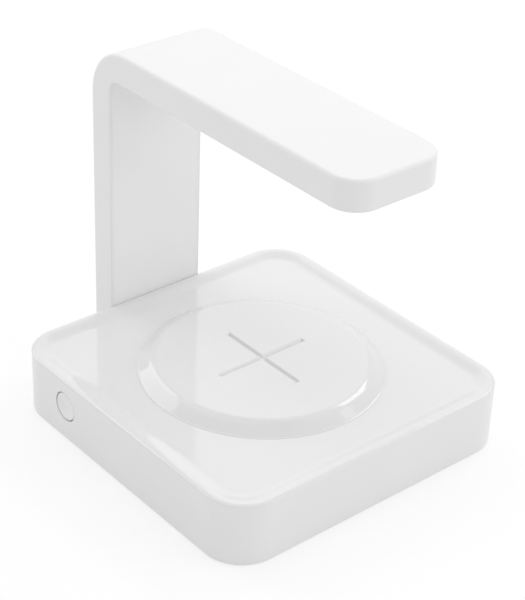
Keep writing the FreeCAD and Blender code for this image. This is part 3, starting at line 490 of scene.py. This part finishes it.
def makeArm(look):
    low, high = boxMm(look["node"])
    width, tip, bottom = high.x - low.x, low.y, low.z
    outer = (high.y, high.z)
    inner = (high.y - look["thick"], high.z - look["thick"])
    bend = (inner[0] - look["elbowInner"], inner[1] - look["elbowInner"])
    solid = bmesh.new()
    bentBar(solid, inner, outer, width, tip, bottom)
    roundElbow(solid, outer, look["elbowOuter"], look["elbowSteps"])
    roundElbow(solid, inner, look["elbowInner"], look["elbowSteps"])
    roundTip(solid, tip, look["tipRound"], look["tipSteps"])

    # edges that are still square, without those of the foot
    def squareEdges():
        square = [e for e in solid.edges if e.calc_face_angle() > math.radians(look["squareDegrees"])]
        return [e for e in square if max(v.co.z for v in e.verts) > bottom + tiny]

    def atInner(e):
        return all(v.co.y < inner[0] + tiny and v.co.z < inner[1] + tiny for v in e.verts)
    roundEdges(solid, [e for e in squareEdges() if not atInner(e)], look["edgeRound"], look["edgeSteps"])
    roundEdges(solid, squareEdges(), look["innerEdge"], look["innerSteps"])
    footEdges = edgesWhere(solid, lambda c: abs(c.z - bottom) < tiny)
    roundEdges(solid, footEdges, look["footRound"], look["footSteps"])

    def onFace(c):
        if c.y > bend[0] and c.z > bend[1]:
            reach = math.hypot(c.y - bend[0], c.z - bend[1])
            return abs(reach - look["elbowInner"]) < look["bendSlack"]
        return abs(max(c.y - inner[0], c.z - inner[1])) < tiny
    cutFaces(solid, facesWhere(solid, onFace), (0, 0, look["linerEnd"]), zAxis)
    face = [f for f in facesWhere(solid, onFace) if f.calc_center_median().z > look["linerEnd"]]
    # seat of the liner, then the hollow behind it
    insetFaces(solid, face, look["lip"] - look["innerEdge"])
    insetFaces(solid, face, 0.0, -look["linerDeep"])
    insetFaces(solid, face, look["ledge"])
    insetFaces(solid, face, 0.0, look["linerDeep"] + look["wall"] - look["thick"])
    addPiece(solid, "arm_casing", look)
    return inner, tip


armInner, armTip = makeArm(armSet)

# liner: a thin bent plate flush with the arm's inner face, open over the lamp
# the liner's finish carries painted light, a white set lighter to brighten the shaded inner face
linerSet = {"node": "arm_inner_cover", "body": "base", "slot": "gloss_top", "finish": buffedWhitePaintedLight,
            "hardDegrees": 35, "thick": 1.54, "seam": 0.02, "paneWide": 14.12, "paneLong": 60.12,
            "paneRound": 4.06, "paneSteps": 8, "border": 2.0}


# edges of a rounded oblong that lies level about the middle
def oblongLoop(solid, wide, long, radius, height, steps):
    shape = Matrix.Translation((0, 0, height)) @ Matrix.Diagonal((wide / 2, long / 2, 1, 1))
    made = bmesh.ops.create_grid(solid, x_segments=1, y_segments=1, size=1.0, matrix=shape)["verts"]
    made = bmesh.ops.bevel(solid, geom=made, offset=radius, offset_type="ABSOLUTE", segments=steps,
                           profile=0.5, affect="VERTICES", material=-1)["verts"]
    sheet = made[0].link_faces[0]
    loop = list(sheet.edges)
    bmesh.ops.delete(solid, geom=[sheet], context="FACES_ONLY")
    return loop


def makeLiner(look, arm):
    lip = arm["lip"] + look["seam"]
    width = boxMm(arm["node"])[1].x * 2 - 2 * lip
    outer = (armInner[0] + look["thick"], armInner[1] + look["thick"])
    bottom = arm["linerEnd"] + arm["lip"] - arm["innerEdge"] + look["seam"]
    solid = bmesh.new()
    bentBar(solid, armInner, outer, width, armTip + lip, bottom)
    roundElbow(solid, outer, arm["elbowInner"] + look["thick"], arm["elbowSteps"])
    roundElbow(solid, armInner, arm["elbowInner"], arm["elbowSteps"])
    roundTip(solid, armTip + lip, arm["tipRound"] - lip, arm["tipSteps"])
    loops = []
    for height in (armInner[1], outer[1]):
        # a plain field round the opening keeps the fill away from the plate's rounded end
        patch = facesAtHeight(solid, height)
        for axis, size in ((xAxis, look["paneWide"]), (yAxis, look["paneLong"])):
            for side in (-1, 1):
                patch = cutFaces(solid, patch, axis * side * (size / 2 + look["border"]), axis)
        middle = min(patch, key=lambda f: f.calc_center_median().xy.length)
        border = list(middle.edges)
        bmesh.ops.delete(solid, geom=[middle], context="FACES_ONLY")
        loop = oblongLoop(solid, look["paneWide"], look["paneLong"], look["paneRound"], height,
                          look["paneSteps"])
        bmesh.ops.triangle_fill(solid, edges=border + loop, use_beauty=True, normal=(0, 0, 1))
        loops += loop
    bmesh.ops.bridge_loops(solid, edges=loops)
    addPiece(solid, "arm_liner", look)


makeLiner(linerSet, armSet)

# lamp pane: an oblong pane with a flange behind the liner
paneSet = {"node": "lamp_window", "body": "base", "slot": "diffuser", "finish": frostedPane,
           "hardDegrees": 35, "flange": 1.5, "flangeThick": 0.8, "corner": 5.5, "cornerSteps": 8,
           "edge": 0.2, "edgeSteps": 2}


def makePane(look):
    low, high = boxMm(look["node"])
    size = high - low
    solid = bmesh.new()
    bmesh.ops.create_cube(solid, size=1.0)
    bmesh.ops.scale(solid, vec=(size.x, size.y, look["flangeThick"]), verts=solid.verts)
    bmesh.ops.translate(solid, vec=(0, 0, high.z - look["flangeThick"] / 2), verts=solid.verts)
    roundEdges(solid, uprightEdges(solid.edges), look["corner"], look["cornerSteps"])
    pane = facesAtHeight(solid, high.z - look["flangeThick"])[0]
    insetFaces(solid, [pane], look["flange"])
    pushFace(solid, pane, look["flangeThick"] - size.z)
    lowEdges = edgesWhere(solid, lambda c: abs(c.z - low.z) < tiny)
    roundEdges(solid, lowEdges, look["edge"], look["edgeSteps"])
    addPiece(solid, "lamp_pane", look)


makePane(paneSet)

# button: turned about its own axis, with a shallow finger dish
buttonSet = {"node": "button_cap", "body": "button", "slot": "button_plastic", "finish": satinWhite,
             "hardDegrees": 35, "radius": 4.22, "edge": 0.4, "edgeSteps": 4, "dishRadius": 3.6,
             "dishDeep": 0.55, "dishSteps": 8, "shellWall": 2.0, "recess": 0.05, "flange": 1.0, "stem": 1.6,
             "turnSteps": 72}


def makeButton(look):
    low, high = boxMm(look["node"])
    middle = Vector((0, (low.y + high.y) / 2, (low.z + high.z) / 2))
    face, flange = low.x, (high.y - low.y) / 2
    shoulder = face - look["recess"] + look["shellWall"]
    behind = shoulder + look["flange"]
    outline = []
    for step in range(look["dishSteps"] + 1):
        share = step / look["dishSteps"]
        outline.append((look["dishRadius"] * share, face + look["dishDeep"] * (1 - share ** 2)))
    outline += [(look["radius"], face), (look["radius"], shoulder), (flange, shoulder), (flange, behind),
                (look["stem"], behind), (look["stem"], high.x), (0, high.x)]
    solid = bmesh.new()
    turnOutline(solid, outline, middle, xAxis, yAxis, look["turnSteps"])

    def onRim(c):
        return abs(c.x - face) < tiny and (c - middle).yz.length > look["dishRadius"] + tiny
    roundEdges(solid, edgesWhere(solid, onRim), look["edge"], look["edgeSteps"])
    addPiece(solid, "button_face", look)


makeButton(buttonSet)

# foot: a rubber ring with shallow grip grooves underneath
footSet = {"node": "foot_ring", "body": "base", "slot": "foot_rubber", "finish": siliconeRubber,
           "hardDegrees": 35, "width": 7.0, "chamfer": 0.2, "grooves": 3, "grooveWide": 0.6,
           "grooveFloor": 0.3, "grooveDeep": 0.25, "turnSteps": 128}


def makeFoot(look):
    outer, top = boxMm(look["node"])[1].xz
    inner = outer - look["width"]
    lip, floor, deep = look["grooveWide"] / 2, look["grooveFloor"] / 2, look["grooveDeep"]
    outline = [(inner, look["chamfer"]), (inner + look["chamfer"], 0.0)]
    for number in range(look["grooves"]):
        middle = inner + look["width"] * (number + 1) / (look["grooves"] + 1)
        outline += [(middle - lip, 0.0), (middle - floor, deep), (middle + floor, deep), (middle + lip, 0.0)]
    outline += [(outer - look["chamfer"], 0.0), (outer, look["chamfer"]), (outer, top), (inner, top)]
    solid = bmesh.new()
    turnOutline(solid, outline, Vector(), zAxis, xAxis, look["turnSteps"], closed=True)
    addPiece(solid, "foot_grip", look)


makeFoot(footSet)

# coil: turns of stranded wire laid side by side on the ferrite
coilSet = {"node": "charge_coil", "body": "base", "slot": "copper_litz", "finish": copperWire,
           "hardDegrees": 60, "inner": 10.0, "turns": 10, "wireSides": 10, "turnSteps": 96}


def makeCoil(look):
    low, high = boxMm(look["node"])
    pitch = (high.x - look["inner"]) / look["turns"]
    solid = bmesh.new()
    upright = Matrix.Rotation(math.pi / 2, 4, "X")
    for number in range(look["turns"]):
        place = Vector((look["inner"] + pitch * (number + 0.5), 0, (low.z + high.z) / 2))
        wire = bmesh.ops.create_circle(solid, radius=pitch / 2, segments=look["wireSides"],
                                       matrix=Matrix.Translation(place) @ upright)["verts"]
        bmesh.ops.spin(solid, geom=wire + edgesOf(wire), cent=(0, 0, 0), axis=zAxis, angle=math.tau,
                       steps=look["turnSteps"], use_merge=True)
    addPiece(solid, "coil_winding", look)


makeCoil(coilSet)

# contacts: flat spring strips on both faces of the inlet's tongue
contactSet = {"body": "base", "slot": "inlet_steel", "finish": contactGold, "hardDegrees": 35,
              "tongue": "usb_tongue", "count": 12, "pitch": 0.5, "wide": 0.28, "proud": 0.04, "setback": 0.5,
              "long": 3.6, "roundShare": 1 / 3, "roundSteps": 2}


def makeContacts(look):
    low, high = boxMm(look["tongue"])
    wide, long, proud = look["wide"], look["long"], look["proud"]
    first = (low.x + high.x) / 2 - look["pitch"] * (look["count"] - 1) / 2
    y = high.y - look["setback"] - long / 2
    solid = bmesh.new()
    for number in range(look["count"]):
        for z in (low.z - proud / 2, high.z + proud / 2):
            place = Matrix.Translation((first + number * look["pitch"], y, z))
            strip = bmesh.ops.create_cube(solid, size=1.0,
                                          matrix=place @ Matrix.Diagonal((wide, long, proud, 1)))["verts"]
            corners = uprightEdges(edgesOf(strip))
            roundEdges(solid, corners, wide * look["roundShare"], look["roundSteps"])
    addPiece(solid, "inlet_contacts", look)


makeContacts(contactSet)
print("pieces modelled")

# camera: turns in degrees; the focal length is in pixels of a picture imageHeight pixels high
cameraSet = {"azimuth": -41.02, "elevation": 31.478, "roll": 2.376, "distanceMm": 475.495,
             "acrossMm": -0.591, "upMm": -0.013, "aimHeightMm": 40.0, "focalPixels": 1719.895,
             "imageHeight": 600, "sensorMm": 36.0, "nearM": 0.01, "farM": 50.0}


def makeCamera(look):
    azimuth, elevation, roll = (math.radians(look[k]) for k in ("azimuth", "elevation", "roll"))
    out = math.cos(elevation)
    back = Vector((math.sin(azimuth) * out, -math.cos(azimuth) * out, math.sin(elevation)))
    level = Vector((math.cos(azimuth), math.sin(azimuth), 0.0))
    upright = back.cross(level)
    right = level * math.cos(roll) + upright * math.sin(roll)
    up = upright * math.cos(roll) - level * math.sin(roll)
    aim = right * look["acrossMm"] + up * look["upMm"] + zAxis * look["aimHeightMm"]
    data = bpy.data.cameras.new("camera")
    data.sensor_width = look["sensorMm"]
    data.lens = look["focalPixels"] * look["sensorMm"] / look["imageHeight"]
    data.clip_start, data.clip_end = look["nearM"], look["farM"]
    camera = bpy.data.objects.new("camera", data)
    turn = Matrix((right, up, back)).transposed()
    camera.matrix_world = Matrix.Translation((aim + back * look["distanceMm"]) * mm) @ turn.to_4x4()
    scene.collection.objects.link(camera)
    scene.camera = camera


makeCamera(cameraSet)
print("camera set")

# softboxes, in metres and watts: weak ones in front and behind, and a small one that glints on the pad
lightSet = {
    "frontRight": {"place": (0.99, -0.88, 0.90), "aim": (0, 0, 0.05), "size": 1.0, "power": 3.4},
    "backLeft": {"place": (-0.20, 1.19, 0.87), "aim": (0, 0, 0.02), "size": 0.85, "power": 3.2},
    "behind": {"place": (0.90, 1.03, 0.84), "aim": (0, 0, 0.02), "size": 0.75, "power": 1.05},
    "glint": {"place": (0.70, 0.14, 0.70), "aim": (0, 0, 0.02), "size": 0.3, "power": 0.9},
}


def makeLight(name, look):
    data = bpy.data.lights.new(name, "AREA")
    data.shape = "SQUARE"
    data.size = look["size"]
    data.energy = look["power"]
    lamp = bpy.data.objects.new(name, data)
    place = Vector(look["place"])
    lamp.location = place
    lamp.rotation_euler = (Vector(look["aim"]) - place).to_track_quat("-Z", "Y").to_euler()
    scene.collection.objects.link(lamp)


for lampName, lampLook in lightSet.items():
    makeLight(lampName, lampLook)
print("lamps set:", len(lightSet))


# 1 where the camera, glass and gloss look at the surroundings, 0 for the light that falls on the object
def lookedAt(tree, path):
    seen = addNode(tree, "ShaderNodeMath", {"operation": "MAXIMUM"},
                   {0: path.outputs["Is Camera Ray"], 1: path.outputs["Is Transmission Ray"]})
    return addNode(tree, "ShaderNodeMath", {"operation": "MAXIMUM"},
                   {0: seen.outputs[0], 1: path.outputs["Is Glossy Ray"]}).outputs[0]


# room: even white light on the object, and a white backdrop
roomSet = {"colour": "#FFFFFF", "fill": 0.83, "backdrop": 1.0}


def makeRoom(look):
    world = bpy.data.worlds.new("white room")
    world.use_nodes = True
    tree = world.node_tree
    tree.nodes.clear()
    path = addNode(tree, "ShaderNodeLightPath")
    strength = addNode(tree, "ShaderNodeMapRange", {"To Min": look["fill"], "To Max": look["backdrop"]},
                       {"Value": lookedAt(tree, path)})
    air = addNode(tree, "ShaderNodeBackground", {"Color": hexColour(look["colour"])},
                  {"Strength": strength.outputs["Result"]})
    addNode(tree, "ShaderNodeOutputWorld", None, {"Surface": air.outputs["Background"]})
    scene.world = world


makeRoom(roomSet)

# floor: shows white with a faint shadow, also in reflections, and bounces light like grey-white paper
floorSet = {"sizeM": 12.0, "shown": "#FFFFFF", "bounce": "#EBEBEB", "glow": 0.62}


def makeFloor(look):
    mesh = bpy.data.meshes.new("floor")
    sheet = bmesh.new()
    bmesh.ops.create_grid(sheet, x_segments=1, y_segments=1, size=look["sizeM"] / 2)
    sheet.to_mesh(mesh)
    sheet.free()
    floor = bpy.data.objects.new("floor", mesh)
    scene.collection.objects.link(floor)
    material, tree = newMaterial("matte white paper")
    path = addNode(tree, "ShaderNodeLightPath")
    tints = {"data_type": "RGBA", 6: hexColour(look["shown"]), 7: hexColour(look["bounce"])}
    colour = addNode(tree, "ShaderNodeMix", tints, {0: path.outputs["Is Diffuse Ray"]})
    paper = addNode(tree, "ShaderNodeBsdfDiffuse", None, {"Color": colour.outputs[2]})
    white = addNode(tree, "ShaderNodeEmission", {"Color": hexColour(look["shown"]), "Strength": 1.0})
    share = addNode(tree, "ShaderNodeMath", {"operation": "MULTIPLY", 1: look["glow"]},
                    {0: lookedAt(tree, path)})
    mixed = addNode(tree, "ShaderNodeMixShader", None,
                    {0: share.outputs[0], 1: paper.outputs["BSDF"], 2: white.outputs["Emission"]})
    addNode(tree, "ShaderNodeOutputMaterial", None, {"Surface": mixed.outputs["Shader"]})
    mesh.materials.append(material)


makeFloor(floorSet)
scene.view_settings.view_transform = "Standard"
print("room and floor set")
